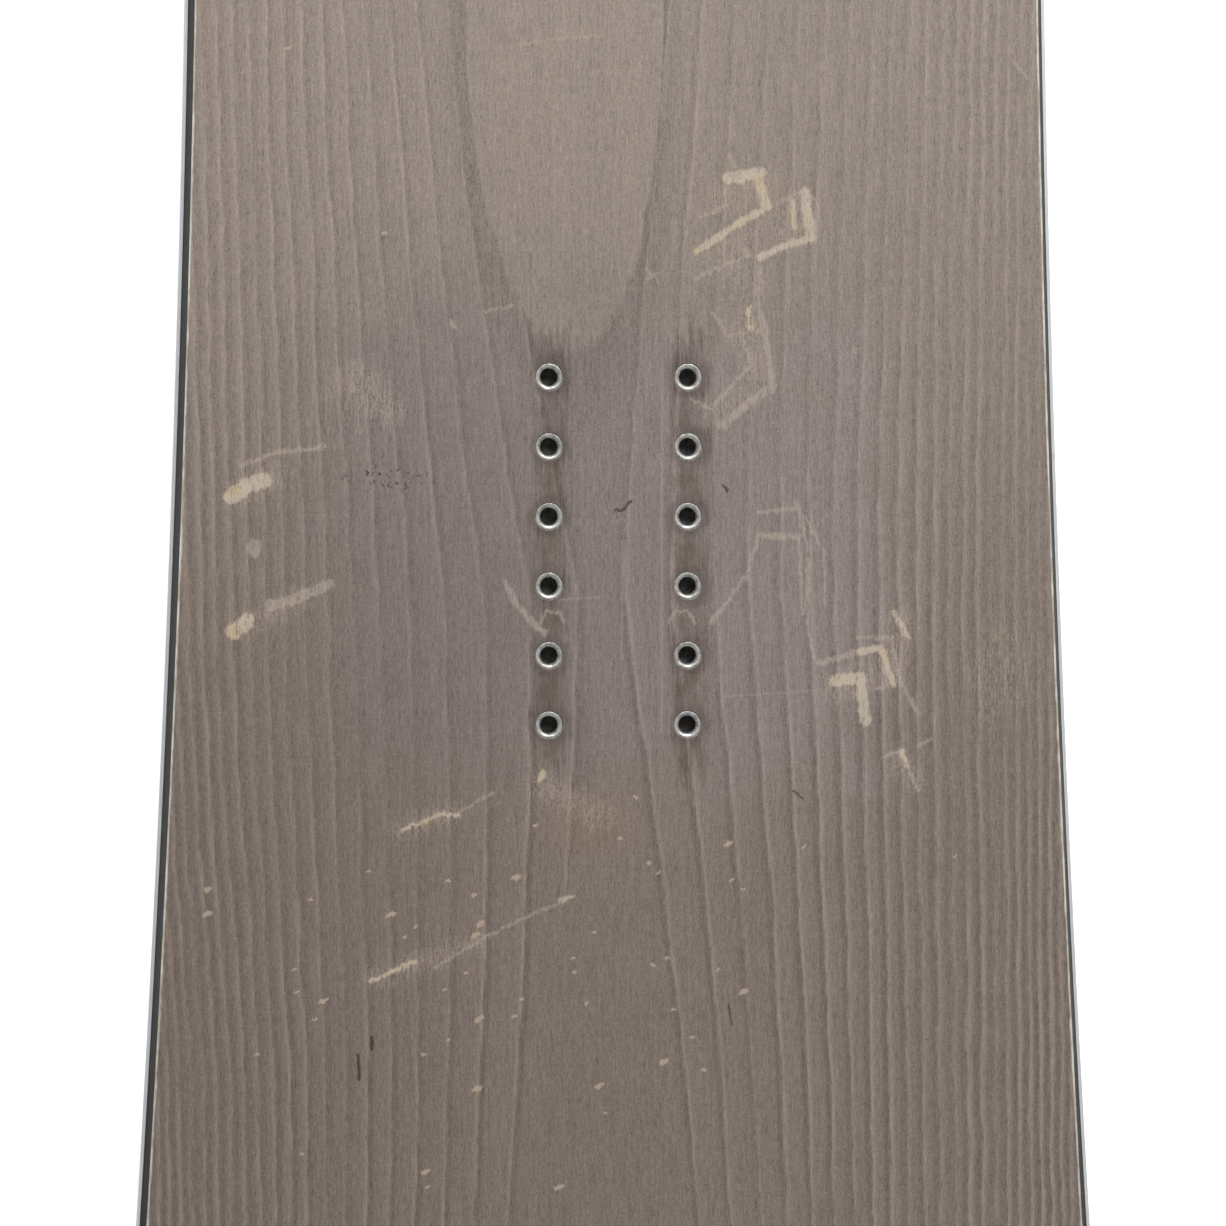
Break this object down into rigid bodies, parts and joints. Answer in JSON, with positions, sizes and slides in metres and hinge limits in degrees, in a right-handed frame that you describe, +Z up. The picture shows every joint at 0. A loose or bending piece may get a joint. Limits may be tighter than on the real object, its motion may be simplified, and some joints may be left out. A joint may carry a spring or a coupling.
{
  "type": "snowboard",
  "caption": "Directional cambered snowboard without bindings: wood veneer deck, sandwich core, black sidewalls, steel edges, and two packs of threaded inserts.",
  "frame": {"origin": "under the middle of the overall length, on the centreline, at the height of the two contact lines where the board touches the ground", "axes": "+Y along the board to the nose, +X to the right-hand edge seen from above, +Z up out of the deck"},
  "size_m": [0.2926, 1.59, 0.0589],
  "materials": {
    "wood_veneer": "satin lacquered, stained grey-brown",
    "glass_laminate": "translucent epoxy with woven glass fibre",
    "running_base": "sintered polyethylene with a ground structure",
    "pale_core_wood": "planed, bare",
    "dark_core_wood": "planed, bare",
    "spacer": "matt",
    "sidewall": "planed and scuffed",
    "damping_rubber": "matt",
    "edge_steel": "ground",
    "insert_steel": "turned"
  },
  "bodies": {
    "root": {"veneer_topsheet": "wood_veneer", "top_glass_laminate": "glass_laminate", "bottom_glass_laminate": "glass_laminate", "running_base": "running_base", "core_stringer_1": "pale_core_wood", "core_stringer_2": "dark_core_wood", "core_stringer_3": "pale_core_wood", "core_stringer_4": "dark_core_wood", "core_stringer_5": "pale_core_wood", "core_stringer_6": "dark_core_wood", "core_stringer_7": "pale_core_wood", "core_stringer_8": "dark_core_wood", "core_stringer_9": "pale_core_wood", "core_edge_stringer_left": "dark_core_wood", "core_edge_stringer_right": "dark_core_wood", "nose_spacer": "spacer", "tail_spacer": "spacer", "sidewall_left": "sidewall", "sidewall_right": "sidewall", "damping_foil_left": "damping_rubber", "damping_foil_right": "damping_rubber", "steel_edge_left": "edge_steel", "steel_edge_right": "edge_steel", "front_inserts": "insert_steel", "rear_inserts": "insert_steel"}
  },
  "joints": []
}
